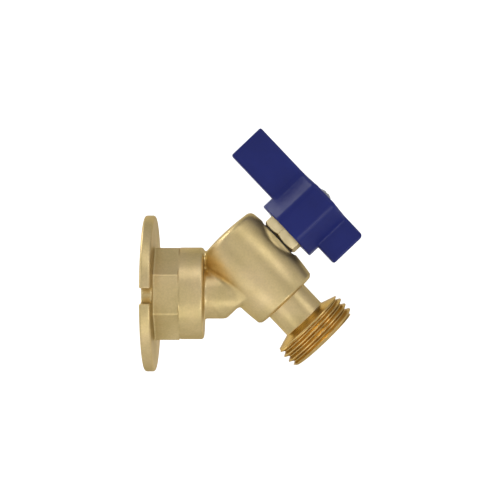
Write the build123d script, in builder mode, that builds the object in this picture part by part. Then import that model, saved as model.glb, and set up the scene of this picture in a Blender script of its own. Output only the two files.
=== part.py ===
from build123d import *
import math
import os

# Quarter-turn hose bibb with a wall flange: a forged brass body with a 3/4-14 NPT socket, a chamber
# that slopes down towards the hose, an L-port ball turned by a stem square to the chamber, and a
# screwed-in outlet with a 3/4-11.5 garden hose thread. All lengths are millimetres, angles degrees.
# Origin: centre of the flange's back face. +X leaves the wall, +Z is up, Y runs along the wall.

# ---- Driving dimensions -------------------------------------------------------------------------
# Wall flange, the octagon for the installing wrench, and the round collar
flange_radius = 26.0
flange_thickness = 3.5
flange_edge = 0.8
slot_width = 4.9
slot_depth = 8.5
octagon_flats = 30.6
octagon_end = 11.7
collar_radius = 15.3
collar_end = 19.6
collar_edge = 1.0

# Female pipe thread, 3/4-14 NPT: sizes at the mouth, taper 1 in 16 on the diameter
npt_pitch = 1.814
npt_turns = 7
npt_root_radius = 13.18
npt_depth = 1.35
npt_crest_flat = 0.12
npt_taper = 1 / 32
npt_mouth_chamfer = 0.9
npt_mouth_land = 0.1
tap_bore_length = 2.0
socket_floor_slope = 20.0

# Where the stem's axis crosses the chamber's axis, and how far the outlet points below level
centre_x = 35.5
centre_z = 9.8
outlet_slope = 46.5

# Elbow: level tube out of the collar, then a riser into the underside of the chamber
elbow_radius = 8.45
passage_radius = 5.6
riser_radius = 7.1
riser_foot = 4.6
bend_relief = 0.15

# Ball and the two seats that carry it
ball_radius = 8.0
ball_port_radius = 4.8
port_step = 0.1
ball_clearance = 0.35
ball_slot_width = 3.2
ball_slot_floor = 6.1
seat_bore_relief = 0.2
seat_recess_clearance = 0.08
seat_contact = 1.25
seat_clearance = 0.05
rear_seat_depth = 4.1
front_seat_depth = 3.8

# Valve chamber, a slightly barrelled forging around the outlet's axis
chamber_rear_wall = 3.75
chamber_front_wall = 2.3
chamber_belly = 1.15
chamber_dome = 0.9
chamber_rear_edge = 1.5
chamber_front_edge = 0.45

# Screwed-in outlet: spigot, neck, shoulder and 3/4-11.5 hose thread
spigot_step = 1.05
spigot_length = 7.3
spigot_clearance = 0.05
spigot_inset = 0.25
spigot_groove_depth = 1.15
spigot_groove_start = 4.6
spigot_groove_width = 1.7
spigot_ring_section = 0.56
outlet_bore_radius = 6.0
neck_radius = 7.87
neck_fillet = 0.7
neck_length = 8.8
shoulder_depth = 1.65
shoulder_rim_radius = 12.9
shoulder_rim_width = 0.35
hose_pitch = 2.209
hose_turns = 3
hose_crest_radius = 13.495
hose_root_radius = 12.06
hose_crest_flat = 0.3
hose_thread_lead = 1.5
hose_end_land = 0.5
hose_mouth_radius = 9.2
hose_mouth_depth = 5.0
hose_mouth_slope = 45.0

# Stem port in the body: boss around the gland nut, ledge with the stop pocket, gland bore
boss_clearance = 0.4
boss_drop = 0.9
gland_bore_radius = 6.0
ledge_wall = 0.95
ledge_bore_clearance = 0.2
stop_pocket_depth = 1.0
stop_pocket_clearance = 0.3
handle_travel = 90.0
stop_margin = 1.5

# Stem: tang, journal, collar with its stop lug, shaft with two ring grooves, square and tapped hole
tang_thickness = 3.0
tang_width = 7.2
tang_floor_gap = 0.2
journal_radius = 3.9
journal_gap = 0.45
collar_lift = 0.08
stem_collar_radius = 4.7
stem_collar_thickness = 0.88
stop_lug_radius = 5.45
stop_lug_angle = 50.0
shaft_radius = 3.5
shaft_clearance = 0.05
shaft_rise = 0.9
ring_groove_depth = 0.85
ring_groove_width = 1.4
ring_section = 0.43
ring_lift = 0.01
lower_groove_rise = 1.3
upper_groove_rise = 4.1
square_size = 5.0
square_length = 9.7
tapped_hole_radius = 1.65
tapped_hole_depth = 11.0

# Thrust washer, gland nut and its gasket
washer_thickness = 0.55
washer_gap = 0.04
washer_clearance = 0.1
shank_clearance = 0.05
hex_flats = 13.0
hex_height = 6.0
hex_turn = -10.0
hex_chamfer_slope = 30.0
hex_face_inset = 0.2
gasket_thickness = 0.4
gasket_radius = 6.3

# Handle: a flat wing across a six-sided hub, hollow below over the gland nut
wing_rear = 30.9
wing_front = 18.7
wing_height = 13.45
wing_thickness = 5.8
wing_rear_corner = 0.7
wing_front_corner = 1.6
wing_edge = 0.7
skirt_gap = 3.8
skirt_height = 4.05
hub_face_half = 4.5
hub_wall = 1.8
hub_point_wall = 3.3
hub_side_half = 2.0
hub_corner = 1.1
hub_top_edge = 1.4
hub_bottom_edge = 0.3
skirt_clearance = 0.5
square_clearance = 0.05
socket_headroom = 0.3
screw_hole_radius = 2.1
screw_recess_radius = 3.6
screw_recess_depth = 2.2

# Handle screw with its lock washer
screw_head_radius = 3.2
screw_head_height = 2.9
screw_head_dome = 1.3
cross_width = 0.8
cross_length = 3.4
cross_depth = 1.4
screw_shank_radius = 1.6
screw_length = 10.0
lock_washer_radius = 3.3
lock_washer_bore = 1.9
lock_washer_thickness = 0.7
lock_washer_split = 0.6

# ---- Frames and heights worked out from them ----------------------------------------------------
# flow_plane looks along the outlet, stem_plane along the stem, and section holds both axes.
slope = math.radians(outlet_slope)
centre = Vector(centre_x, 0, centre_z)
flow = Vector(math.cos(slope), 0, -math.sin(slope))
rise = Vector(math.sin(slope), 0, math.cos(slope))
flow_plane = Plane(origin=centre, x_dir=rise, z_dir=flow)
stem_plane = Plane(origin=centre, x_dir=flow, z_dir=rise)
section = Plane(origin=centre, x_dir=flow, z_dir=(0, -1, 0))
flow_axis = Axis(centre, flow)
stem_axis = Axis(centre, rise)
wall_plane = Plane.YZ
riser_drop = centre_z / math.cos(slope)
riser_root = centre - rise * riser_drop

# a thread's flank leans 30 degrees from square to its axis
thread_flank = math.tan(math.radians(30))

# along the outlet's axis, from the stem
recess_radius = ball_radius + seat_recess_clearance
seat_bore_radius = ball_port_radius + seat_bore_relief
seat_start = math.sqrt(recess_radius**2 - seat_bore_radius**2) - seat_contact
rear_cavity_end = seat_start + rear_seat_depth + seat_clearance
spigot_start = seat_start + front_seat_depth + seat_clearance
spigot_end = spigot_start + spigot_length
chamber_front = spigot_end + spigot_inset
chamber_rear = rear_cavity_end + chamber_rear_wall
neck_end = chamber_front + neck_length
rim_start = neck_end + shoulder_depth
rim_end = rim_start + shoulder_rim_width
hose_foot = hose_crest_flat / 2 + (hose_crest_radius - hose_root_radius) * thread_flank
hose_first_crest = rim_end + hose_thread_lead
hose_end = hose_first_crest + (hose_turns - 1) * hose_pitch + hose_foot + hose_end_land

# radii of the chamber and what fits in it
ball_cavity_radius = ball_radius + ball_clearance
seat_radius = ball_cavity_radius - seat_clearance
spigot_radius = ball_cavity_radius + spigot_step
spigot_bore_radius = spigot_radius + spigot_clearance
chamber_end_radius = spigot_bore_radius + chamber_front_wall
chamber_belly_radius = chamber_end_radius + chamber_belly

# heights up the stem, from the outlet's axis
pocket_floor = ball_cavity_radius + ledge_wall
ledge_top = pocket_floor + stop_pocket_depth
boss_top = chamber_belly_radius - boss_drop
collar_bottom = pocket_floor + collar_lift
collar_top = collar_bottom + stem_collar_thickness
washer_bottom = collar_top + washer_gap
gland_bottom = washer_bottom + washer_thickness + washer_gap
hex_bottom = boss_top + gasket_thickness
hex_top = hex_bottom + hex_height
shaft_top = hex_top + shaft_rise
square_top = shaft_top + square_length
hub_bottom = boss_top + skirt_gap
wing_bottom = hub_bottom + skirt_height
wing_top = wing_bottom + wing_height
recess_floor = wing_top - screw_recess_depth
head_bottom = recess_floor + lock_washer_thickness

# pipe thread
npt_foot = npt_crest_flat / 2 + npt_depth * thread_flank
npt_first_crest = npt_mouth_chamfer + npt_mouth_land + npt_foot
npt_end = npt_first_crest + (npt_turns - 1) * npt_pitch + npt_foot + npt_mouth_land
tap_bore_radius = npt_root_radius - npt_end * npt_taper - npt_depth
tap_start = npt_end + npt_depth * thread_flank
tap_end = tap_start + tap_bore_length
socket_floor = tap_end + (tap_bore_radius - passage_radius) * math.tan(math.radians(socket_floor_slope))

# gland and stop
gland_shank_radius = gland_bore_radius - shank_clearance
shaft_bore_radius = shaft_radius + shaft_clearance
ledge_bore_radius = journal_radius + ledge_bore_clearance
stop_pocket_radius = stop_lug_radius + stop_pocket_clearance
pocket_start = -handle_travel - stop_lug_angle / 2 - stop_margin
pocket_sweep = handle_travel + stop_lug_angle + 2 * stop_margin

hex_corner_radius = hex_flats / 2 / math.cos(math.radians(30))
hex_face_radius = hex_flats / 2 - hex_face_inset
hex_chamfer = (hex_corner_radius - hex_face_radius) * math.tan(math.radians(hex_chamfer_slope))
boss_radius = hex_corner_radius + boss_clearance

# the handle's hub is hollow over the gland nut
skirt_cavity_radius = hex_corner_radius + skirt_clearance
hub_half_depth = skirt_cavity_radius + hub_wall
hub_half_width = skirt_cavity_radius + hub_point_wall


def wedge(radius, start, sweep):
    """A pie-shaped face around the origin, from an angle over a sweep."""
    angles = [math.radians(start + part * sweep) for part in (0, 0.5, 1)]
    first, middle, last = [(radius * math.cos(a), radius * math.sin(a)) for a in angles]
    with BuildSketch(mode=Mode.PRIVATE) as outline:
        with BuildLine():
            Line((0, 0), first)
            ThreePointArc(first, middle, last)
            Line(last, (0, 0))
        make_face()
    return outline.sketch


def thread_outline(first, turns, pitch, root, height, crest_flat, taper=0.0):
    """Points of a 60-degree thread form as seen in section: (distance along the axis, radius).

    Each turn is drawn square to the axis. A negative height points inwards, and a taper narrows
    the thread with distance from the axis' origin.
    """
    foot = crest_flat / 2 + abs(height) * thread_flank
    points = []
    for turn in range(turns):
        crest = first + turn * pitch
        for offset, lift in ((-foot, 0), (-crest_flat / 2, height), (crest_flat / 2, height), (foot, 0)):
            points.append((crest + offset, root + lift - crest * taper))
    return points


def ring_seal(plane, ring_radius, section_radius):
    """An O-ring around a plane's Z axis."""
    with BuildPart(plane) as ring:
        Torus(ring_radius, section_radius)
    return ring.part


def seat(side, depth):
    """A ball seat on one side of the ball: 1 is towards the hose and -1 away from it."""
    with BuildPart() as ring:
        with BuildSketch(section):
            with Locations((side * (seat_start + depth / 2), (seat_bore_radius + seat_radius) / 2)):
                Rectangle(depth, seat_radius - seat_bore_radius)
            Circle(recess_radius, mode=Mode.SUBTRACT)
        revolve(axis=flow_axis)
    return ring.part


def save(part, name):
    """Label a finished piece and write its STEP file."""
    part.label = name
    export_step(part, "parts/" + name + ".step")


os.makedirs("parts", exist_ok=True)

# ---- Valve body ---------------------------------------------------------------------------------
# level tube out of the collar, cut square to the riser where it turns up
with BuildPart() as elbow:
    with BuildSketch(wall_plane.offset(collar_end / 2)):
        Circle(elbow_radius)
    extrude(amount=centre_x - collar_end / 2)
    with BuildSketch(flow_plane.offset(riser_radius)):
        Rectangle(8 * elbow_radius, 8 * elbow_radius)
    extrude(amount=8 * elbow_radius, mode=Mode.SUBTRACT)
    with BuildSketch(stem_plane.offset(-riser_drop - riser_foot)):
        Circle(riser_radius)
    extrude(amount=riser_drop + riser_foot)

# barrelled chamber with a domed rear
with BuildPart() as chamber:
    with BuildSketch(section) as outline:
        with BuildLine():
            Line((-chamber_rear - chamber_dome, 0), (chamber_front, 0))
            Line((chamber_front, 0), (chamber_front, chamber_end_radius))
            ThreePointArc(
                (chamber_front, chamber_end_radius),
                ((chamber_front - chamber_rear) / 2, chamber_belly_radius),
                (-chamber_rear, chamber_end_radius),
            )
            RadiusArc(
                (-chamber_rear, chamber_end_radius),
                (-chamber_rear - chamber_dome, 0),
                -(chamber_end_radius**2 + chamber_dome**2) / (2 * chamber_dome),
            )
        make_face()
        rear_corner = outline.vertices().sort_by_distance((-chamber_rear, chamber_end_radius))[0]
        fillet(rear_corner, chamber_rear_edge)
        front_corner = outline.vertices().sort_by_distance((chamber_front, chamber_end_radius))[0]
        chamfer(front_corner, chamber_front_edge)
    revolve(axis=flow_axis)

socket_thread = thread_outline(
    npt_first_crest, npt_turns, npt_pitch, npt_root_radius, -npt_depth, npt_crest_flat, npt_taper
)

with BuildPart() as valve_body:
    # flange
    with BuildSketch(wall_plane):
        Circle(flange_radius)
    extrude(amount=flange_thickness)
    fillet(valve_body.edges().filter_by(GeomType.CIRCLE), flange_edge)
    # octagon for the wrench, with a flat at each side, at the top and at the bottom
    with BuildSketch(wall_plane.offset(flange_thickness / 2)):
        RegularPolygon(octagon_flats / 2, 8, major_radius=False, rotation=22.5)
    extrude(amount=octagon_end - flange_thickness / 2)
    # round collar
    with BuildSketch(Plane.XZ):
        with BuildLine():
            Polyline(
                (collar_end, collar_radius - collar_edge),
                (collar_end, 0),
                (flange_thickness / 2, 0),
                (flange_thickness / 2, collar_radius),
                (collar_end - collar_edge, collar_radius),
            )
            CenterArc((collar_end - collar_edge, collar_radius - collar_edge), collar_edge, 0, 90)
        make_face()
    revolve(axis=Axis.X)
    add(elbow.part)
    add(chamber.part)
    # stem boss, whose flat top is let into the chamber's crown to seat the gland nut
    with BuildSketch(stem_plane):
        Circle(boss_radius)
    extrude(amount=boss_top)
    with BuildSketch(stem_plane.offset(boss_top)):
        Circle(boss_radius)
    extrude(amount=2 * boss_drop, mode=Mode.SUBTRACT)
    # open mounting slots in the flange, one at each side
    for side in (1, -1):
        with BuildSketch(wall_plane):
            with Locations((side * (flange_radius - slot_depth + slot_width / 2), 0)):
                Circle(slot_width / 2)
            with Locations((side * (flange_radius + slot_width / 2), 0)):
                Rectangle(2 * slot_depth, slot_width)
        extrude(amount=flange_thickness, mode=Mode.SUBTRACT)
    # pipe socket with its thread, the tap bore and the floor behind it
    with BuildSketch(Plane.XZ):
        with BuildLine():
            Polyline(
                (0, 0),
                (0, npt_root_radius + npt_mouth_chamfer),
                (npt_mouth_chamfer, npt_root_radius),
                *socket_thread,
                (npt_end, npt_root_radius - npt_end * npt_taper),
                (tap_start, tap_bore_radius),
                (tap_end, tap_bore_radius),
                (socket_floor, passage_radius),
                (socket_floor, 0),
                close=True,
            )
        make_face()
    revolve(axis=Axis.X, mode=Mode.SUBTRACT)
    # passage: level, then up the riser into the ball's cavity
    with BuildSketch(wall_plane.offset(tap_end)):
        Circle(passage_radius)
    extrude(amount=riser_root.X - tap_end, mode=Mode.SUBTRACT)
    with Locations(riser_root):
        Sphere(passage_radius + bend_relief, mode=Mode.SUBTRACT)
    with BuildSketch(stem_plane.offset(-riser_drop)):
        Circle(ball_port_radius)
    extrude(amount=riser_drop, mode=Mode.SUBTRACT)
    # ball cavity, and the bore that takes the outlet's spigot
    with BuildSketch(flow_plane.offset(-rear_cavity_end)):
        Circle(ball_cavity_radius)
    extrude(amount=rear_cavity_end + spigot_start, mode=Mode.SUBTRACT)
    with BuildSketch(flow_plane.offset(spigot_start)):
        Circle(spigot_bore_radius)
    extrude(amount=2 * spigot_length, mode=Mode.SUBTRACT)
    # stem port: ledge bore, stop pocket and gland bore
    with BuildSketch(stem_plane):
        Circle(ledge_bore_radius)
    extrude(amount=boss_top, mode=Mode.SUBTRACT)
    with BuildSketch(stem_plane.offset(pocket_floor)):
        Circle(stem_collar_radius + shaft_clearance)
        add(wedge(stop_pocket_radius, pocket_start, pocket_sweep))
    extrude(amount=stop_pocket_depth, mode=Mode.SUBTRACT)
    with BuildSketch(stem_plane.offset(ledge_top)):
        Circle(gland_bore_radius)
    extrude(amount=2 * boss_top, mode=Mode.SUBTRACT)
save(valve_body.part, "valve_body")

# ---- Outlet, screwed into the front of the chamber ----------------------------------------------
mouth_floor = hose_end - hose_mouth_depth
mouth_cone = (hose_mouth_radius - outlet_bore_radius) / math.tan(math.radians(hose_mouth_slope))
groove_start = spigot_start + spigot_groove_start
groove_end = groove_start + spigot_groove_width
groove_radius = spigot_radius - spigot_groove_depth

hose_thread = thread_outline(
    hose_first_crest,
    hose_turns,
    hose_pitch,
    hose_root_radius,
    hose_crest_radius - hose_root_radius,
    hose_crest_flat,
)

with BuildPart() as outlet_adapter:
    with BuildSketch(section) as outline:
        with BuildLine():
            Polyline(
                (spigot_start, outlet_bore_radius),
                (spigot_start, spigot_radius),
                (groove_start, spigot_radius),
                (groove_start, groove_radius),
                (groove_end, groove_radius),
                (groove_end, spigot_radius),
                (spigot_end, spigot_radius),
                (spigot_end, neck_radius),
                (neck_end, neck_radius),
                (rim_start, shoulder_rim_radius),
                (rim_end, shoulder_rim_radius),
                (rim_end + hose_crest_flat, hose_root_radius),
                *hose_thread,
                (hose_end, hose_root_radius),
                (hose_end, hose_mouth_radius),
                (mouth_floor, hose_mouth_radius),
                (mouth_floor - mouth_cone, outlet_bore_radius),
                close=True,
            )
        make_face()
        for corner in ((spigot_end, neck_radius), (neck_end, neck_radius)):
            fillet(outline.vertices().sort_by_distance(corner)[0], neck_fillet)
    revolve(axis=flow_axis)
save(outlet_adapter.part, "outlet_adapter")

adapter_o_ring = ring_seal(
    flow_plane.offset((groove_start + groove_end) / 2),
    groove_radius + ring_lift + spigot_ring_section,
    spigot_ring_section,
)
save(adapter_o_ring, "adapter_o_ring")

# ---- Ball and its seats -------------------------------------------------------------------------
save(seat(-1, rear_seat_depth), "rear_seat")
save(seat(1, front_seat_depth), "outlet_seat")

with BuildPart() as ball:
    # turned with its port to the hose
    with BuildSketch(section):
        Circle(ball_radius)
        with Locations((0, -ball_radius)):
            Rectangle(2 * ball_radius, 2 * ball_radius, mode=Mode.SUBTRACT)
        with Locations((-ball_port_radius, 0)):
            Rectangle(
                2 * ball_radius,
                ball_port_radius,
                align=(Align.MIN, Align.MIN),
                mode=Mode.SUBTRACT,
            )
    revolve(axis=flow_axis)
    # port down to the riser, and the slot that the stem's tang turns
    with BuildSketch(stem_plane):
        Circle(ball_port_radius - port_step)
    extrude(amount=-2 * ball_radius, mode=Mode.SUBTRACT)
    with BuildSketch(stem_plane.offset(ball_slot_floor)):
        Rectangle(4 * ball_radius, ball_slot_width)
    extrude(amount=ball_radius, mode=Mode.SUBTRACT)
save(ball.part, "ball")

# ---- Stem and its seals -------------------------------------------------------------------------
ring_radius = shaft_radius - ring_groove_depth + ring_lift + ring_section
groove_heights = [gland_bottom + lower_groove_rise, gland_bottom + upper_groove_rise]

with BuildPart() as stem:
    with BuildSketch(stem_plane.offset(ball_slot_floor + tang_floor_gap)):
        Circle(journal_radius)
        Rectangle(tang_width, tang_thickness, mode=Mode.INTERSECT)
    extrude(amount=collar_bottom - ball_slot_floor - tang_floor_gap)
    with BuildSketch(stem_plane.offset(ball_radius + journal_gap)):
        Circle(journal_radius)
    extrude(amount=collar_bottom - ball_radius - journal_gap)
    with BuildSketch(stem_plane.offset(collar_bottom)):
        Circle(stem_collar_radius)
        add(wedge(stop_lug_radius, -stop_lug_angle / 2, stop_lug_angle))
    extrude(amount=stem_collar_thickness)
    with BuildSketch(stem_plane.offset(collar_top)):
        Circle(shaft_radius)
    extrude(amount=shaft_top - collar_top)
    with BuildSketch(stem_plane.offset(shaft_top)):
        Circle(shaft_radius)
        Rectangle(square_size, square_size, mode=Mode.INTERSECT)
    extrude(amount=square_length)
    for height in groove_heights:
        with BuildSketch(stem_plane.offset(height - ring_groove_width / 2)):
            Circle(2 * shaft_radius)
            Circle(shaft_radius - ring_groove_depth, mode=Mode.SUBTRACT)
        extrude(amount=ring_groove_width, mode=Mode.SUBTRACT)
    with BuildSketch(stem_plane.offset(square_top)):
        Circle(tapped_hole_radius)
    extrude(amount=-tapped_hole_depth, mode=Mode.SUBTRACT)
save(stem.part, "stem")

for name, height in zip(("stem_o_ring_lower", "stem_o_ring_upper"), groove_heights):
    save(ring_seal(stem_plane.offset(height), ring_radius, ring_section), name)

with BuildPart() as thrust_washer:
    with BuildSketch(stem_plane.offset(washer_bottom)):
        Circle(gland_bore_radius - washer_clearance)
        Circle(shaft_radius + washer_clearance, mode=Mode.SUBTRACT)
    extrude(amount=washer_thickness)
save(thrust_washer.part, "thrust_washer")

# ---- Gland nut and its gasket -------------------------------------------------------------------
with BuildPart() as gland_nut:
    with BuildSketch(stem_plane.offset(hex_bottom)):
        RegularPolygon(hex_flats / 2, 6, major_radius=False, rotation=hex_turn)
    extrude(amount=hex_height)
    # both ends of the hexagon are turned to a cone
    with BuildSketch(section):
        with BuildLine():
            Polyline(
                (0, hex_bottom),
                (hex_face_radius, hex_bottom),
                (hex_corner_radius, hex_bottom + hex_chamfer),
                (hex_corner_radius, hex_top - hex_chamfer),
                (hex_face_radius, hex_top),
                (0, hex_top),
                close=True,
            )
        make_face()
    revolve(axis=stem_axis, mode=Mode.INTERSECT)
    with BuildSketch(stem_plane.offset(gland_bottom)):
        Circle(gland_shank_radius)
    extrude(amount=hex_bottom - gland_bottom)
    with BuildSketch(stem_plane.offset(gland_bottom)):
        Circle(shaft_bore_radius)
    extrude(amount=hex_top - gland_bottom, mode=Mode.SUBTRACT)
save(gland_nut.part, "gland_nut")

with BuildPart() as gland_gasket:
    with BuildSketch(stem_plane.offset(boss_top)):
        Circle(gasket_radius)
        Circle(gland_bore_radius, mode=Mode.SUBTRACT)
    extrude(amount=gasket_thickness)
save(gland_gasket.part, "gland_gasket")

# ---- Handle -------------------------------------------------------------------------------------
hub_outline = [
    (hub_face_half, hub_half_depth),
    (-hub_face_half, hub_half_depth),
    (-hub_half_width, hub_side_half),
    (-hub_half_width, -hub_side_half),
    (-hub_face_half, -hub_half_depth),
    (hub_face_half, -hub_half_depth),
    (hub_half_width, -hub_side_half),
    (hub_half_width, hub_side_half),
]

with BuildPart() as hub:
    with BuildSketch(stem_plane.offset(hub_bottom)) as outline:
        with BuildLine():
            Polyline(*hub_outline, close=True)
        make_face()
        fillet(outline.vertices(), hub_corner)
    extrude(amount=wing_top - hub_bottom)
    fillet(hub.faces().sort_by(stem_axis)[-1].edges(), hub_top_edge)
    chamfer(hub.faces().sort_by(stem_axis)[0].edges(), hub_bottom_edge)

with BuildPart() as handle:
    # wing, drawn from the side
    with BuildSketch(section) as outline:
        with BuildLine():
            Polyline(
                (-wing_rear, wing_bottom),
                (wing_front, wing_bottom),
                (wing_front, wing_top),
                (-wing_rear, wing_top),
                close=True,
            )
        make_face()
        fillet(outline.vertices().sort_by(Axis.X)[:2], wing_rear_corner)
        fillet(outline.vertices().sort_by(Axis.X)[-2:], wing_front_corner)
    extrude(amount=wing_thickness / 2, both=True)
    fillet(handle.faces().filter_by(Axis.Y).edges(), wing_edge)
    add(hub.part)
    # room for the gland nut, a square socket for the stem, and a recess for the screw
    with BuildSketch(stem_plane.offset(hub_bottom)):
        Circle(skirt_cavity_radius)
    extrude(amount=shaft_top - hub_bottom, mode=Mode.SUBTRACT)
    with BuildSketch(stem_plane.offset(shaft_top)):
        Circle(shaft_radius + square_clearance)
        Rectangle(
            square_size + 2 * square_clearance,
            square_size + 2 * square_clearance,
            mode=Mode.INTERSECT,
        )
    extrude(amount=square_length + socket_headroom, mode=Mode.SUBTRACT)
    with BuildSketch(stem_plane.offset(shaft_top)):
        Circle(screw_hole_radius)
    extrude(amount=wing_top - shaft_top, mode=Mode.SUBTRACT)
    with BuildSketch(stem_plane.offset(recess_floor)):
        Circle(screw_recess_radius)
    extrude(amount=screw_recess_depth, mode=Mode.SUBTRACT)
save(handle.part, "handle")

# ---- Handle screw and lock washer ---------------------------------------------------------------
with BuildPart() as lock_washer:
    with BuildSketch(stem_plane.offset(recess_floor)):
        Circle(lock_washer_radius)
        Circle(lock_washer_bore, mode=Mode.SUBTRACT)
        with Locations((lock_washer_radius, 0)):
            Rectangle(2 * lock_washer_radius, lock_washer_split, mode=Mode.SUBTRACT)
    extrude(amount=lock_washer_thickness)
save(lock_washer.part, "handle_lock_washer")

head_side = screw_head_height - screw_head_dome
with BuildPart() as handle_screw:
    with BuildSketch(section):
        with BuildLine():
            Polyline(
                (0, head_bottom + screw_head_height),
                (0, head_bottom - screw_length),
                (screw_shank_radius, head_bottom - screw_length),
                (screw_shank_radius, head_bottom),
                (screw_head_radius, head_bottom),
                (screw_head_radius, head_bottom + head_side),
            )
            RadiusArc(
                (screw_head_radius, head_bottom + head_side),
                (0, head_bottom + screw_head_height),
                -(screw_head_radius**2 + screw_head_dome**2) / (2 * screw_head_dome),
            )
        make_face()
    revolve(axis=stem_axis)
    with BuildSketch(stem_plane.offset(head_bottom + screw_head_height)):
        Rectangle(cross_length, cross_width)
        Rectangle(cross_width, cross_length)
    extrude(amount=-cross_depth, mode=Mode.SUBTRACT)
save(handle_screw.part, "handle_screw")
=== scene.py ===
import math

import bpy
import numpy as np
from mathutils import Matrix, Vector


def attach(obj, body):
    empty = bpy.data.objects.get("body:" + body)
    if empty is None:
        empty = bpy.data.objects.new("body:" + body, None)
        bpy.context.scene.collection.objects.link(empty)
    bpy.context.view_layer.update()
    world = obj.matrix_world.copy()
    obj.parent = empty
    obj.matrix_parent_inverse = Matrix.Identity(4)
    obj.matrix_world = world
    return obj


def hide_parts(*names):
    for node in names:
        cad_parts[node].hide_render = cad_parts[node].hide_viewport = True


# Hose bibb on a wall flange. The valve body, outlet, gland nut and handle are built here with their
# forged blends, helical threads and soft edges; the other pieces are the CAD nodes. Sizes are in
# millimetres and follow the CAD model; a mesh is scaled to metres when it is made.

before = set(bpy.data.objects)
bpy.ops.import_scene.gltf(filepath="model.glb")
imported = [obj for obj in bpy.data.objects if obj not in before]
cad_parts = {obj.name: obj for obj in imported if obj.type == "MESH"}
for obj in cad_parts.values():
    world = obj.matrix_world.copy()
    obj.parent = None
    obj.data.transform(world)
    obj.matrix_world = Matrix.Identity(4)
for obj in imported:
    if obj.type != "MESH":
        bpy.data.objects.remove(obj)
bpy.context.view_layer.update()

MM = 0.001
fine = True

# ---- Sizes --------------------------------------------------------------------------------------
flange_radius = 25.98
flange_thickness = 3.5
flange_edge = 0.8
slot_half = 2.45
slot_floor_centre = 19.95
octagon_apothem = 15.17
octagon_end = 11.7
octagon_edge = 0.35
octagon_end_edge = 0.25
octagon_core_inset = 0.1
collar_radius = 15.3
collar_end = 19.6
collar_edge = 1.0
collar_foot_edge = 0.3

npt_pitch = 1.814
npt_root_radius = 13.18
npt_depth = 1.35
npt_foot = 0.84
npt_taper = 1 / 32
npt_mouth_chamfer = 0.9
npt_end = 13.66
tap_bore_radius = 11.403
tap_end = 16.442
socket_floor_slope = math.radians(20)

centre_x = 35.5
centre_z = 9.8
slope = math.radians(46.5)
elbow_radius = 8.45
elbow_reach = 7.1
passage_radius = 5.6
riser_radius = 7.1
riser_drop = 14.237
riser_foot = 4.6
riser_root_x = 25.17
tube_edge = 0.8
passage_edge = 0.3
bend_allowance = 0.15

ball_cavity_radius = 8.35
ball_cavity_end = -9.247
spigot_bore_radius = 9.45
spigot_start = 8.947
spigot_end = 16.247
chamber_front = 16.497
chamber_rear = 12.997
chamber_dome = 0.9
chamber_end_radius = 11.75
chamber_belly = 1.15
chamber_chamfer = 0.75
dome_edge = 1.5
boss_radius = 7.9
boss_top = 12.0
boss_edge = 0.3
spot_face_edge = 0.25
gland_bore_radius = 6.0
ledge_top = 10.3
ledge_bore_radius = 4.1
pocket_floor = 9.3
pocket_radius = 5.75
pocket_middle = math.radians(-45)
pocket_half = math.radians(71.5)

# fillets where the forging's shapes run into each other
flange_fillet = 0.5
riser_fillet = 1.0
collar_fillet = 1.2
chamber_fillet = 1.3
boss_fillet = 0.8
# small broken edges of the machined cuts
slot_edge = 0.35
bore_edge = 0.25
socket_edge = 0.15
gland_edge = 0.2

spigot_radius = 9.4
ring_groove_start = 13.547
ring_groove_end = 15.247
ring_groove_radius = 8.25
neck_radius = 7.87
neck_end = 25.297
shoulder_end = 26.947
rim_end = 27.297
rim_radius = 12.9
hose_pitch = 2.209
hose_crest = 28.797
hose_crest_radius = 13.48
hose_root_radius = 12.06
hose_crest_half = 0.15
hose_end = 34.694
hose_end_radius = 12.35
mouth_radius = 9.2
mouth_depth = 5.0
mouth_cone_length = 3.2
outlet_edge = 0.35
mouth_edge = 0.3
outlet_bore_radius = 6.0

gland_bottom = 10.89
gland_shank_radius = 5.95
shaft_bore_radius = 3.55
hex_bottom = 12.4
hex_top = 18.4
hex_half = 6.5
hex_face_radius = 6.3
hex_turn = math.radians(-10)
hex_chamfer_slope = math.radians(30)
hex_chamfer_edge = 0.12
hex_end_edge = 0.1
nut_bore_edge = 0.2

hub_bottom = 15.8
hub_depth = 9.8
hub_width = 11.3
hub_face_half = 4.5
hub_side_half = 2.0
hub_facet_edge = 1.2
hub_end_edge = 1.0
hub_bottom_edge = 0.35
wing_bottom = 19.85
wing_top = 33.3
wing_rear = 30.9
wing_front = 18.7
wing_half = 2.9
wing_corner = 0.7
wing_top_front_corner = 1.5
wing_edge = 0.8
hub_top_edge = 1.4
wing_rear_fillet = 1.4
wing_front_fillet = 0.4
skirt_radius = 8.0
skirt_top = 19.3
socket_half = 2.55
socket_round = 3.55
socket_top = 29.3
screw_hole_radius = 2.1
recess_radius = 3.6
recess_floor = 31.1
recess_edge = 0.3


# ---- Solid shapes as distance fields ------------------------------------------------------------
# A field is negative inside a shape. Arguments a and b are fields at the same points.
def both(a, b, edge=0.0):
    """Where a and b overlap, with the edge between them rounded."""
    if np.isscalar(edge) and edge == 0.0:
        return np.maximum(a, b)
    return np.minimum(np.maximum(a, b), -edge) + np.hypot(np.maximum(a + edge, 0), np.maximum(b + edge, 0))


def either(a, b, blend=0.0):
    """a and b joined, with a fillet of radius blend where they meet."""
    return -both(-a, -b, blend)


def without(a, b, edge=0.0):
    """a with b cut out of it, and the rim of the cut rounded."""
    return both(a, -b, edge)


def chamfered(a, b, width):
    """Where a and b overlap, with a flat chamfer between them."""
    return np.maximum(np.maximum(a, b), (a + b + width) * math.sqrt(0.5))


def between(value, low, high):
    """The slab from low to high."""
    return np.abs(value - (low + high) / 2) - (high - low) / 2


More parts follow.
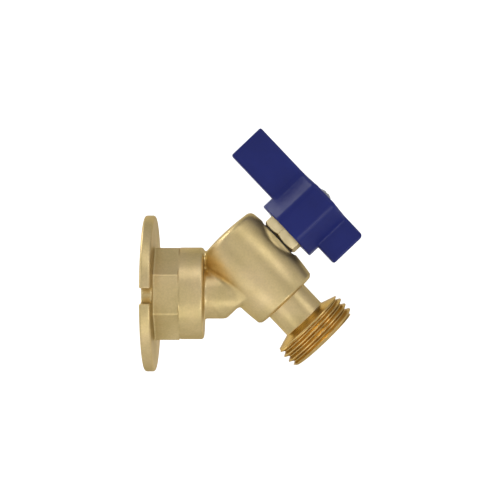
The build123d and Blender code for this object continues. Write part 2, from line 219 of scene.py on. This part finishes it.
def axes_of(x, z):
    """Distance along the outlet's axis and along the stem's, from where they cross."""
    dx = x - centre_x
    dz = z - centre_z
    along = dx * math.cos(slope) - dz * math.sin(slope)
    up = dx * math.sin(slope) + dz * math.cos(slope)
    return along, up


def thread_height(distance, foot, depth):
    """Height of a 60-degree thread at a distance from its crest's middle."""
    return np.clip((foot - np.abs(distance)) * math.sqrt(3), 0, depth)


# ---- Mesh makers --------------------------------------------------------------------------------
def add_mesh(name, points, faces, materials, indices=None):
    """A smooth-shaded object from points in millimetres."""
    mesh = bpy.data.meshes.new(name)
    faces = np.asarray(faces, np.int32)
    mesh.vertices.add(len(points))
    mesh.vertices.foreach_set("co", (np.asarray(points) * MM).astype(np.float32).ravel())
    mesh.loops.add(faces.size)
    mesh.loops.foreach_set("vertex_index", faces.ravel())
    mesh.polygons.add(len(faces))
    mesh.polygons.foreach_set("loop_start", np.arange(0, faces.size, 4, dtype=np.int32))
    for material in materials:
        mesh.materials.append(material)
    if indices is not None:
        mesh.polygons.foreach_set("material_index", np.asarray(indices, np.int32))
    mesh.update(calc_edges=True)
    mesh.validate()
    mesh.shade_smooth()
    piece = bpy.data.objects.new(name, mesh)
    bpy.context.scene.collection.objects.link(piece)
    return piece


cell_corners = [(i, j, k) for i in (0, 1) for j in (0, 1) for k in (0, 1)]


def crossed_cells(inside):
    """Grid cells that have corners on both sides of the surface."""
    counts = np.array(inside.shape) - 1
    corners_inside = np.zeros(counts, np.int8)
    for i, j, k in cell_corners:
        corners_inside += inside[i : i + counts[0], j : j + counts[1], k : k + counts[2]]
    return np.argwhere((corners_inside > 0) & (corners_inside < len(cell_corners)))


def crossing_points(values, found):
    """The mean of the points where the surface crosses each cell's edges, in cells."""
    at = np.stack([values[tuple((found + corner).T)] for corner in cell_corners], 1)
    total = np.zeros((len(found), 3))
    crossings = np.zeros((len(found), 1))
    for a in range(len(cell_corners)):
        for b in range(a + 1, len(cell_corners)):
            step_between = np.subtract(cell_corners[b], cell_corners[a])
            if np.abs(step_between).sum() != 1:
                continue
            crosses = ((at[:, a] < 0) != (at[:, b] < 0))[:, None]
            share = at[:, a] / np.where(at[:, a] == at[:, b], 1, at[:, a] - at[:, b])
            total += crosses * (cell_corners[a] + share[:, None] * step_between)
            crossings += crosses
    return found + total / crossings


def cell_quads(inside, index):
    """A quad around each grid edge that the surface crosses, facing outwards."""
    quads = []
    for axis in range(3):
        u = (axis + 1) % 3
        v = (axis + 2) % 3
        ahead = np.roll(inside, -1, axis)
        crosses = inside != ahead
        crosses[tuple(slice(-1, None) if i == axis else slice(None) for i in range(3))] = False
        edges = np.argwhere(crosses)
        around = []
        for du, dv in ((1, 1), (0, 1), (0, 0), (1, 0)):
            cell = edges.copy()
            cell[:, u] -= du
            cell[:, v] -= dv
            around.append(index[tuple(cell.T)])
        quad = np.stack(around, 1)
        leaves = inside[tuple(edges.T)]
        quads.append(quad[leaves])
        quads.append(quad[~leaves][:, ::-1])
    return np.concatenate(quads)


def surface(field, low, high, step):
    """Points and quads of a field's surface: one point in each cell that it crosses, pulled onto it."""
    low = np.array(low, float)
    counts = np.ceil((np.array(high) - low) / step).astype(int) + 1
    lines = [low[i] + step * np.arange(counts[i]) for i in range(3)]
    values = field(*np.ix_(*lines)).astype(np.float32)
    inside = values < 0
    found = crossed_cells(inside)
    index = np.full(counts - 1, -1, np.int32)
    index[tuple(found.T)] = np.arange(len(found))
    points = low + crossing_points(values, found) * step
    for _ in range(4):
        points += pull(field, points, step)
    return points, cell_quads(inside, index)


def pull(field, points, limit):
    """The move that takes each point to the field's surface, at most limit long."""
    probe = 0.02
    value = field(*points.T)
    slopes = []
    for i in range(3):
        shift = np.zeros(3)
        shift[i] = probe
        slopes.append((field(*(points + shift).T) - field(*(points - shift).T)) / (2 * probe))
    gradient = np.stack(slopes, 1)
    move = -gradient * (value / np.maximum((gradient**2).sum(1), 0.1))[:, None]
    length = np.linalg.norm(move, axis=1, keepdims=True)
    return move * np.minimum(1, limit / np.maximum(length, 1e-9))


def from_axes(points):
    """Points given along the outlet, across and up the stem, in the row frame."""
    along, across, up = points.T
    x = centre_x + along * math.cos(slope) + up * math.sin(slope)
    z = centre_z - along * math.sin(slope) + up * math.cos(slope)
    return np.stack([x, across, z], 1)


# ---- Materials ----------------------------------------------------------------------------------
def new_material(name):
    """A material and its Principled shader."""
    made = bpy.data.materials.new(name)
    made.use_nodes = True
    return made, made.node_tree.nodes["Principled BSDF"]


def node(shader, kind, **sockets):
    """A node in the shader's tree, with its sockets set or joined."""
    tree = shader.id_data
    made = tree.nodes.new(kind)
    for name, value in sockets.items():
        socket = made.inputs[name.replace("_", " ")]
        if isinstance(value, bpy.types.NodeSocket):
            tree.links.new(value, socket)
        else:
            socket.default_value = value
    return made


def grain(shader, per_metre, detail=2.0, stretch=(1, 1, 1), turn=0.0):
    """Noise with a number of features in each metre, drawn out along axes turned about Y."""
    place = node(shader, "ShaderNodeTexCoord")
    mapping = node(shader, "ShaderNodeMapping", Vector=place.outputs["Object"])
    mapping.vector_type = "TEXTURE"
    mapping.inputs["Rotation"].default_value = (0, turn, 0)
    mapping.inputs["Scale"].default_value = stretch
    made = node(
        shader, "ShaderNodeTexNoise", Vector=mapping.outputs["Vector"], Scale=per_metre, Detail=detail
    )
    return made.outputs["Fac"]


def ramp(shader, factor, stops):
    """Colours or greys spread over a factor, as (place, colour) stops."""
    made = node(shader, "ShaderNodeValToRGB", Fac=factor)
    elements = made.color_ramp.elements
    while len(elements) < len(stops):
        elements.new(0.5)
    for element, (place, colour) in zip(elements, stops):
        element.position = place
        element.color = (*colour, 1)
    return made.outputs["Color"]


def smooth_range(shader, value, start, end, low, high):
    """A value eased from low at start to high at end."""
    made = node(shader, "ShaderNodeMapRange", Value=value)
    made.interpolation_type = "SMOOTHSTEP"
    for name, number in (("From Min", start), ("From Max", end), ("To Min", low), ("To Max", high)):
        made.inputs[name].default_value = number
    return made.outputs["Result"]


def grey(value):
    return (value, value, value)


def mixed(shader, kind, share, first, second):
    """Two colours mixed in one of Blender's ways."""
    made = shader.id_data.nodes.new("ShaderNodeMix")
    made.data_type = "RGBA"
    made.blend_type = kind
    made.inputs["Factor"].default_value = share
    shader.id_data.links.new(first, made.inputs["A"])
    shader.id_data.links.new(second, made.inputs["B"])
    return made.outputs["Result"]


def bumps(shader, *layers):
    """Stacks (height, strength, depth in metres) into the shader's normal."""
    normal = None
    for height, strength, depth in layers:
        made = node(shader, "ShaderNodeBump", Height=height, Strength=strength, Distance=depth)
        if normal is not None:
            shader.id_data.links.new(normal, made.inputs["Normal"])
        normal = made.outputs["Normal"]
    shader.id_data.links.new(normal, shader.inputs["Normal"])


def join(shader, output, name):
    shader.id_data.links.new(output, shader.inputs[name])


# reflection of tarnished brass near its silhouette, against that of a clean metal
brass_edge_tint = (0.4, 0.36, 0.3, 1)


def forged_brass():
    """Sand-blasted forging: a fine matt grain over slow waves, with faint tarnish."""
    made, shader = new_material("forged_brass")
    shader.inputs["Metallic"].default_value = 1.0
    shader.inputs["Specular Tint"].default_value = brass_edge_tint
    tones = [(0.32, (0.74, 0.58, 0.27)), (0.5, (0.84, 0.66, 0.33)), (0.68, (0.90, 0.70, 0.38))]
    tarnish = ramp(shader, grain(shader, 70, 3), tones)
    speckle = ramp(shader, grain(shader, 1500, 3), [(0.3, grey(0.9)), (0.7, grey(1.0))])
    join(shader, mixed(shader, "MULTIPLY", 1.0, tarnish, speckle), "Base Color")
    join(shader, ramp(shader, grain(shader, 220, 4), [(0.3, grey(0.36)), (0.7, grey(0.46))]), "Roughness")
    bumps(
        shader,
        (grain(shader, 260, 3), 0.25, 0.00012),
        (grain(shader, 2400, 3), 0.3, 0.00003),
    )
    return made


def machined_brass():
    """Turned brass: brighter and more golden, with fine tool rings around the outlet's axis."""
    made, shader = new_material("machined_brass")
    shader.inputs["Metallic"].default_value = 1.0
    shader.inputs["Specular Tint"].default_value = brass_edge_tint
    rings = grain(shader, 1800, 2, stretch=(1, 60, 60), turn=slope)
    join(
        shader,
        ramp(shader, grain(shader, 160, 3), [(0.3, (0.72, 0.49, 0.18)), (0.7, (0.82, 0.58, 0.24))]),
        "Base Color",
    )
    join(shader, ramp(shader, rings, [(0.3, grey(0.22)), (0.7, grey(0.34))]), "Roughness")
    bumps(shader, (rings, 0.12, 0.00002), (grain(shader, 700, 2), 0.06, 0.00002))
    return made


def satin_brass():
    """Tumbled brass of the gland nut: paler and duller than the turned outlet."""
    made, shader = new_material("satin_brass")
    shader.inputs["Metallic"].default_value = 1.0
    shader.inputs["Specular Tint"].default_value = brass_edge_tint
    tones = [(0.3, (0.56, 0.46, 0.26)), (0.7, (0.66, 0.55, 0.33))]
    join(shader, ramp(shader, grain(shader, 240, 3), tones), "Base Color")
    join(shader, ramp(shader, grain(shader, 500, 3), [(0.3, grey(0.4)), (0.7, grey(0.5))]), "Roughness")
    bumps(shader, (grain(shader, 600, 2), 0.1, 0.00003))
    return made


def blue_paint():
    """Satin navy coating with a slight orange peel."""
    made, shader = new_material("blue_paint")
    shader.inputs["Specular IOR Level"].default_value = 0.25
    shader.inputs["Coat Weight"].default_value = 0.15
    shader.inputs["Coat Roughness"].default_value = 0.2
    join(
        shader,
        ramp(shader, grain(shader, 90, 3), [(0.3, (0.007, 0.014, 0.15)), (0.7, (0.010, 0.019, 0.182))]),
        "Base Color",
    )
    join(shader, ramp(shader, grain(shader, 400, 3), [(0.3, grey(0.36)), (0.7, grey(0.46))]), "Roughness")
    bumps(shader, (grain(shader, 500, 2), 0.15, 0.00006), (grain(shader, 2500, 2), 0.12, 0.00002))
    return made


def zinc_steel():
    """Bright zinc plate, slightly cloudy."""
    made, shader = new_material("zinc_steel")
    shader.inputs["Metallic"].default_value = 1.0
    join(
        shader,
        ramp(shader, grain(shader, 300, 3), [(0.3, (0.30, 0.31, 0.34)), (0.7, (0.42, 0.43, 0.46))]),
        "Base Color",
    )
    join(shader, ramp(shader, grain(shader, 700, 3), [(0.3, grey(0.24)), (0.7, grey(0.4))]), "Roughness")
    bumps(shader, (grain(shader, 1500, 2), 0.2, 0.00002))
    return made


def chrome_ball():
    """Polished chrome plate with faint wear from the seats."""
    made, shader = new_material("chrome_ball")
    shader.inputs["Metallic"].default_value = 1.0
    join(
        shader,
        ramp(shader, grain(shader, 200, 3), [(0.3, (0.6, 0.61, 0.62)), (0.7, (0.72, 0.73, 0.74))]),
        "Base Color",
    )
    join(shader, ramp(shader, grain(shader, 500, 4), [(0.3, grey(0.06)), (0.75, grey(0.16))]), "Roughness")
    bumps(shader, (grain(shader, 800, 2), 0.05, 0.00002))
    return made


def soft_seal(name, dark, light, rough):
    """Matt plastic or rubber with a mottled skin."""
    made, shader = new_material(name)
    join(shader, ramp(shader, grain(shader, 350, 3), [(0.3, dark), (0.7, light)]), "Base Color")
    low = grey(rough - 0.06)
    high = grey(rough + 0.06)
    join(shader, ramp(shader, grain(shader, 600, 3), [(0.3, low), (0.7, high)]), "Roughness")
    bumps(shader, (grain(shader, 1200, 3), 0.2, 0.00003))
    return made


def pale_studio():
    """Matt paper for the floor and the wall behind, glowing towards the wall like a light table."""
    made, shader = new_material("pale_studio")
    shader.inputs["Roughness"].default_value = 0.9
    shader.inputs["Emission Color"].default_value = (1, 1, 1, 1)
    place = node(shader, "ShaderNodeTexCoord")
    split = node(shader, "ShaderNodeSeparateXYZ", Vector=place.outputs["Object"])
    back = smooth_range(shader, split.outputs["Y"], 0.05, 0.24, 0.0, 0.66)
    right = smooth_range(shader, split.outputs["X"], 0.26, 0.5, 1.0, 0.3)
    glow = node(shader, "ShaderNodeMath")
    glow.operation = "MULTIPLY"
    shader.id_data.links.new(back, glow.inputs[0])
    shader.id_data.links.new(right, glow.inputs[1])
    join(shader, glow.outputs["Value"], "Emission Strength")
    join(shader, ramp(shader, grain(shader, 9, 3), [(0.3, grey(0.8)), (0.7, grey(0.82))]), "Base Color")
    return made


brass = forged_brass()
turned = machined_brass()
finishes = {
    "forged_brass": brass,
    "machined_brass": turned,
    "satin_brass": satin_brass(),
    "blue_paint": blue_paint(),
    "zinc_steel": zinc_steel(),
    "chrome_ball": chrome_ball(),
    "ptfe": soft_seal("ptfe", (0.72, 0.72, 0.69), (0.84, 0.84, 0.81), 0.5),
    "seal_rubber": soft_seal("seal_rubber", (0.012, 0.012, 0.012), (0.03, 0.03, 0.03), 0.62),
}


# ---- Valve body ---------------------------------------------------------------------------------
def flange_and_socket(x, y, z, reach):
    """Outside of the flange, the octagon and the round collar."""
    flange = both(reach - flange_radius, between(x, 0, flange_thickness), flange_edge)
    across = np.abs(y)
    tall = np.abs(z)
    level_flats = both(across, tall) - octagon_apothem
    slanted_flats = (across + tall) * math.sqrt(0.5) - octagon_apothem
    flats = both(level_flats, slanted_flats, octagon_edge)
    octagon = both(flats, between(x, 1, octagon_end), octagon_end_edge)
    core = both(reach - octagon_apothem + octagon_core_inset, between(x, 1, collar_end - 1))
    collar = both(reach - collar_radius, octagon_end - x, collar_foot_edge)
    collar = both(collar, x - collar_end, collar_edge)
    return either(either(flange, octagon, flange_fillet), either(core, collar))


def chamber_outside(along, up, y):
    """Barrelled chamber around the outlet's axis, domed at the rear and chamfered at the front."""
    half = (chamber_front + chamber_rear) / 2
    middle = (chamber_front - chamber_rear) / 2
    barrel_radius = (half**2 + chamber_belly**2) / (2 * chamber_belly)
    dome_radius = (chamber_end_radius**2 + chamber_dome**2) / (2 * chamber_dome)
    reach = np.hypot(up, y)
    sunk = barrel_radius - chamber_end_radius - chamber_belly
    barrel = np.hypot(along - middle, reach + sunk) - barrel_radius
    dome = np.hypot(along + chamber_rear + chamber_dome - dome_radius, reach) - dome_radius
    return both(chamfered(barrel, along - chamber_front, chamber_chamfer), dome, dome_edge)


def pipe_socket(x, y, z, reach):
    """Room for the pipe: a tapered thread, the tap bore and its sloping floor."""
    turn = np.arctan2(z, y) / (2 * math.pi)
    phase = (x / npt_pitch + turn) % 1 - 0.5
    ridge = thread_height(phase * npt_pitch, npt_foot, npt_depth)
    threaded = both((reach - npt_root_radius + x * npt_taper + ridge) * 0.8, x - npt_end)
    mouth = (reach - npt_root_radius - npt_mouth_chamfer + x) * math.sqrt(0.5)
    bottom = (x - tap_end) * math.cos(socket_floor_slope)
    bottom = bottom - (tap_bore_radius - reach) * math.sin(socket_floor_slope)
    plain = both(reach - tap_bore_radius, bottom)
    return either(either(threaded, plain), both(mouth, x - npt_mouth_chamfer))


def forging(x, y, z, along, up, around_stem):
    """Outside of the whole body."""
    reach = np.hypot(y, z)
    tube = both(both(reach - elbow_radius, 10 - x), along - elbow_reach, tube_edge)
    riser = both(both(around_stem - riser_radius, up), -up - riser_drop - riser_foot, tube_edge)
    elbow = either(tube, riser, riser_fillet)
    shape = either(flange_and_socket(x, y, z, reach), elbow, collar_fillet)
    shape = either(shape, chamber_outside(along, up, y), chamber_fillet)
    boss = both(both(around_stem - boss_radius, -up), up - boss_top, boss_edge)
    shape = either(shape, boss, boss_fillet)
    spot_face = both(around_stem - boss_radius, boss_top - up)
    return without(shape, spot_face, spot_face_edge)


def with_slots(shape, x, y, z):
    """The shape with its two mounting slots, open at the flange's rim."""
    side = np.abs(y)
    slot = np.where(side < slot_floor_centre, np.hypot(side - slot_floor_centre, z), np.abs(z)) - slot_half
    return without(shape, both(slot, x - flange_thickness - 0.05), slot_edge)


def with_water_way(shape, x, y, z, along, up, around_stem):
    """The shape with the socket, the passage around the elbow and the bore for ball and outlet."""
    reach = np.hypot(y, z)
    around_outlet = np.hypot(up, y)
    shape = without(shape, pipe_socket(x, y, z, reach), socket_edge)
    passage = both(reach - passage_radius, between(x, tap_end, riser_root_x))
    shape = without(shape, passage, passage_edge)
    bend = np.hypot(around_stem, up + riser_drop) - passage_radius - bend_allowance
    shape = without(shape, either(bend, both(around_stem - passage_radius, between(up, -riser_drop, 0))))
    shape = without(shape, both(around_outlet - ball_cavity_radius, between(along, ball_cavity_end, 10)))
    return without(shape, both(around_outlet - spigot_bore_radius, spigot_start - along), bore_edge)


def with_stem_port(shape, y, along, up, around_stem):
    """The shape with the gland's bore, the stem's ledge and the pocket for the stop lug."""
    shape = without(shape, both(around_stem - gland_bore_radius, ledge_top - up), gland_edge)
    shape = without(shape, both(around_stem - ledge_bore_radius, -up))
    apart = np.clip(np.abs(np.arctan2(y, along) - pocket_middle) - pocket_half, -1.5, 1.5)
    pocket = both(both(around_stem - pocket_radius, pocket_floor - up), around_stem * np.sin(apart))
    return without(shape, pocket)


def body_field(x, y, z):
    """The whole valve body."""
    along, up = axes_of(x, z)
    around_stem = np.hypot(along, y)
    shape = forging(x, y, z, along, up, around_stem)
    shape = with_slots(shape, x, y, z)
    shape = with_water_way(shape, x, y, z, along, up, around_stem)
    return with_stem_port(shape, y, along, up, around_stem)


body_step = 0.3 if fine else 0.6
points, faces = surface(body_field, (-1, -27, -27), (57, 27, 29), body_step)
body = add_mesh("valve_body_forging", points, faces, [brass])
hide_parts("valve_body")
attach(body, "valve")


# ---- Outlet adapter -----------------------------------------------------------------------------
def softened(corners, radius):
    """Section points with each corner turned into an arc."""
    steps = 5
    done = []
    corners = [np.array(corner, float) for corner in corners]
    for before, corner, after in zip(corners[-1:] + corners[:-1], corners, corners[1:] + corners[:1]):
        to_before = before - corner
        to_after = after - corner
        cut = min(radius, np.linalg.norm(to_before) / 2.2, np.linalg.norm(to_after) / 2.2)
        first = corner + to_before / np.linalg.norm(to_before) * cut
        last = corner + to_after / np.linalg.norm(to_after) * cut
        for i in range(steps + 1):
            t = i / steps
            done.append((1 - t) ** 2 * first + 2 * t * (1 - t) * corner + t**2 * last)
    return done


def hose_radius(along, turn):
    """Radius of the hose thread, a helix that rises out of the rim and is chamfered at its end."""
    crest = hose_crest + hose_pitch * turn
    offset = (along - crest + hose_pitch / 2) % hose_pitch - hose_pitch / 2
    depth = hose_crest_radius - hose_root_radius
    foot = hose_crest_half + depth / math.sqrt(3)
    radius = hose_root_radius + thread_height(offset, foot, depth)
    run_in = rim_radius - 0.1 + 0.75 * (along - rim_end)
    run_out = hose_end_radius + (hose_end - along)
    return np.minimum(radius, np.minimum(run_in, run_out))


def outlet_rows(turn):
    """Places along the axis with the radius at each turn, in order around the section."""
    outside = [
        (spigot_start, outlet_bore_radius),
        (spigot_start, spigot_radius),
        (ring_groove_start, spigot_radius),
        (ring_groove_start, ring_groove_radius),
        (ring_groove_end, ring_groove_radius),
        (ring_groove_end, spigot_radius),
        (spigot_end, spigot_radius),
        (spigot_end, neck_radius),
        (neck_end, neck_radius),
        (shoulder_end, rim_radius),
        (rim_end, rim_radius),
    ]
    inside = [
        (hose_end, mouth_radius),
        (hose_end - mouth_depth, mouth_radius),
        (hose_end - mouth_depth - mouth_cone_length, outlet_bore_radius),
    ]
    even = np.ones_like(turn)
    rows = [(along, radius * even) for along, radius in softened(outside, outlet_edge)]
    smooth_rows = len(rows)
    for along in np.linspace(rim_end + 0.05, hose_end, 120 if fine else 60):
        rows.append((along, hose_radius(along, turn)))
    for along, radius in softened([(hose_end, hose_end_radius)] + inside, mouth_edge):
        rows.append((along, radius * even))
    return rows, smooth_rows


def outlet():
    """The adapter turned around the outlet's axis, in rings from its inner end to the hose's washer."""
    turns = 256 if fine else 128
    turn = np.arange(turns) / turns
    rows, smooth_rows = outlet_rows(turn)
    angle = 2 * math.pi * turn
    rings = []
    for along, radius in rows:
        rings.append(np.stack([np.full(turns, along), -radius * np.sin(angle), radius * np.cos(angle)], 1))
    ring_points = from_axes(np.concatenate(rings))
    count = len(rows)
    here, around = np.meshgrid(np.arange(count), np.arange(turns), indexing="ij")
    below = (here + 1) % count
    beside = (around + 1) % turns
    quads = np.stack(
        [here * turns + around, here * turns + beside, below * turns + beside, below * turns + around], -1
    )
    place = np.array([along for along, _ in rows])[here]
    finish = np.where((place > neck_end - 0.2) | (here > smooth_rows), 1, 0)
    made = add_mesh("outlet_turning", ring_points, quads.reshape(-1, 4), [brass, turned], finish.ravel())
    made.data.set_sharp_from_angle(angle=math.radians(50))
    return made


spout = outlet()
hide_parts("outlet_adapter")
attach(spout, "valve")


# ---- Gland nut ----------------------------------------------------------------------------------
def nut_field(along, across, up):
    """Hexagon with its corners chamfered at both ends, over a round shank."""
    reach = np.hypot(along, across)
    angle = np.arctan2(across, along) - hex_turn
    flats = reach * np.cos((angle + math.pi / 6) % (math.pi / 3) - math.pi / 6) - hex_half
    outward = (reach - hex_face_radius) * math.sin(hex_chamfer_slope)
    upper = outward + (up - hex_top) * math.cos(hex_chamfer_slope)
    lower = outward + (hex_bottom - up) * math.cos(hex_chamfer_slope)
    head = both(both(flats, upper, hex_chamfer_edge), lower, hex_chamfer_edge)
    head = both(head, between(up, hex_bottom, hex_top), hex_end_edge)
    shank = both(reach - gland_shank_radius, between(up, gland_bottom, hex_top - 1), nut_bore_edge)
    return without(either(head, shank), reach - shaft_bore_radius, nut_bore_edge)


nut_step = 0.14 if fine else 0.28
points, faces = surface(nut_field, (-8, -8, 10), (8, 8, 19), nut_step)
nut = add_mesh("gland_nut_turning", from_axes(points), faces[:, ::-1], [finishes["satin_brass"]])
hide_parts("gland_nut")
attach(nut, "valve")


# ---- Handle -------------------------------------------------------------------------------------
def hub_plan(reach, side):
    """Six-sided hub, seen along the stem."""
    facet_x = hub_depth - hub_side_half
    facet_y = hub_width - hub_face_half
    facet_length = math.hypot(facet_x, facet_y)
    facet = ((reach - hub_face_half) * facet_x + (side - hub_depth) * facet_y) / facet_length
    return both(both(side - hub_depth, facet, hub_facet_edge), reach - hub_width, hub_end_edge)


def wing_profile(along, up):
    """Outline of the wing, seen from the side."""
    front = along - wing_front
    rear = -along - wing_rear
    top = up - wing_top
    bottom = wing_bottom - up
    front_corners = np.maximum(both(front, top, wing_top_front_corner), both(front, bottom, wing_corner))
    rear_corners = np.maximum(both(rear, top, wing_corner), both(rear, bottom, wing_corner))
    return np.maximum(front_corners, rear_corners)


def handle_field(along, across, up):
    """A wing that runs into a six-sided hub, softly on its long side, and hollow underneath."""
    side = np.abs(across)
    reach = np.abs(along)
    hub = hub_plan(reach, side)
    plan = either(side - wing_half, hub, np.where(along < 0, wing_rear_fillet, wing_front_fillet))
    edge = np.clip(wing_edge + (hub_width + 1 - reach) / 8, wing_edge, hub_top_edge)
    upper = both(plan, wing_profile(along, up), edge)
    lower = both(hub, between(up, hub_bottom, wing_bottom + 2), hub_bottom_edge)
    shape = either(upper, lower)
    around = np.hypot(along, across)
    shape = without(shape, both(around - skirt_radius, up - skirt_top), recess_edge)
    square = both(both(reach, side) - socket_half, around - socket_round)
    shape = without(shape, both(square, up - socket_top))
    shape = without(shape, both(around - screw_hole_radius, skirt_top - 1 - up))
    return without(shape, both(around - recess_radius, recess_floor - up), recess_edge)


handle_step = 0.3 if fine else 0.6
points, faces = surface(handle_field, (-32, -11, 15), (20, 11, 34.5), handle_step)
lever = add_mesh("handle_casting", from_axes(points), faces[:, ::-1], [finishes["blue_paint"]])
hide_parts("handle")
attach(lever, "spindle")


# ---- CAD pieces that keep their own shape -------------------------------------------------------
node_finish = {
    "adapter_o_ring": "seal_rubber",
    "ball": "chrome_ball",
    "gland_gasket": "seal_rubber",
    "handle_lock_washer": "zinc_steel",
    "handle_screw": "zinc_steel",
    "outlet_seat": "ptfe",
    "rear_seat": "ptfe",
    "stem": "machined_brass",
    "stem_o_ring_lower": "seal_rubber",
    "stem_o_ring_upper": "seal_rubber",
    "thrust_washer": "ptfe",
}
for name, finish in node_finish.items():
    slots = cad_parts[name].data.materials
    slots.clear()
    slots.append(finishes[finish])

# ---- Studio -------------------------------------------------------------------------------------
floor_z = -110.0
sweep_start = 420.0
sweep_radius = 300.0
wall_height = 900.0
studio_half = 4000.0


def backdrop():
    """A floor that curves up into a wall behind the object."""
    line = [(-studio_half, floor_z), (sweep_start, floor_z)]
    for i in range(1, 17):
        angle = math.pi / 2 * i / 16
        back = sweep_start + sweep_radius * math.sin(angle)
        line.append((back, floor_z + sweep_radius * (1 - math.cos(angle))))
    line.append((sweep_start + sweep_radius, floor_z + wall_height))
    corners = []
    for x in (-studio_half, studio_half):
        corners += [(x, y, z) for y, z in line]
    count = len(line)
    quads = [(i, count + i, count + i + 1, i + 1) for i in range(count - 1)]
    return add_mesh("studio_floor", np.array(corners), quads, [pale_studio()])


floor = backdrop()


def softbox(name, place, target, width, height, power):
    """A rectangular studio light aimed at a point, with places in millimetres."""
    lamp = bpy.data.lights.new(name, "AREA")
    lamp.shape = "RECTANGLE"
    lamp.size = width * MM
    lamp.size_y = height * MM
    lamp.energy = power
    made = bpy.data.objects.new(name, lamp)
    bpy.context.scene.collection.objects.link(made)
    place = np.array(place, float) * MM
    aim = np.array(target, float) * MM - place
    made.location = place
    made.visible_camera = False
    made.rotation_mode = "QUATERNION"
    made.rotation_quaternion = Vector(aim).to_track_quat("-Z", "Y")
    return made


object_middle = (35, 0, 15)
softbox("key_above", (60, -420, 560), object_middle, 520, 320, 0.42)
softbox("high_left", (-440, 90, 520), object_middle, 260, 260, 0.9)
softbox("front_right", (400, -360, 350), object_middle, 200, 220, 0.22)
softbox("low_right", (215, -190, -107), (215, -190, 0), 150, 90, 0.13)
softbox("side_right", (620, -60, 120), object_middle, 300, 420, 0.1)
softbox("side_left", (-520, -260, 160), object_middle, 260, 420, 0.35)
softbox("low_front", (95, -125, -108), (95, -125, 0), 380, 100, 0.07)
softbox("front_fill", (35, -800, 40), object_middle, 500, 500, 0.27)

world = bpy.data.worlds.new("studio_air")
bpy.context.scene.world = world
world.use_nodes = True
world.node_tree.nodes["Background"].inputs["Color"].default_value = (1, 1, 1, 1)
world.node_tree.nodes["Background"].inputs["Strength"].default_value = 0.4

# ---- Camera -------------------------------------------------------------------------------------
camera_x = 34.87
camera_z = 14.45
camera_distance = 412.0
camera_view = math.radians(22.9)
sensor_width = 36.0
camera = bpy.data.objects.new("camera", bpy.data.cameras.new("camera"))
bpy.context.scene.collection.objects.link(camera)
camera.location = (camera_x * MM, -camera_distance * MM, camera_z * MM)
camera.rotation_euler = (math.pi / 2, 0, 0)
camera.data.sensor_width = sensor_width
camera.data.lens = sensor_width / 2 / math.tan(camera_view / 2)
camera.data.clip_start = 0.01
camera.data.clip_end = 20.0
bpy.context.scene.camera = camera
bpy.context.scene.view_settings.view_transform = "Standard"
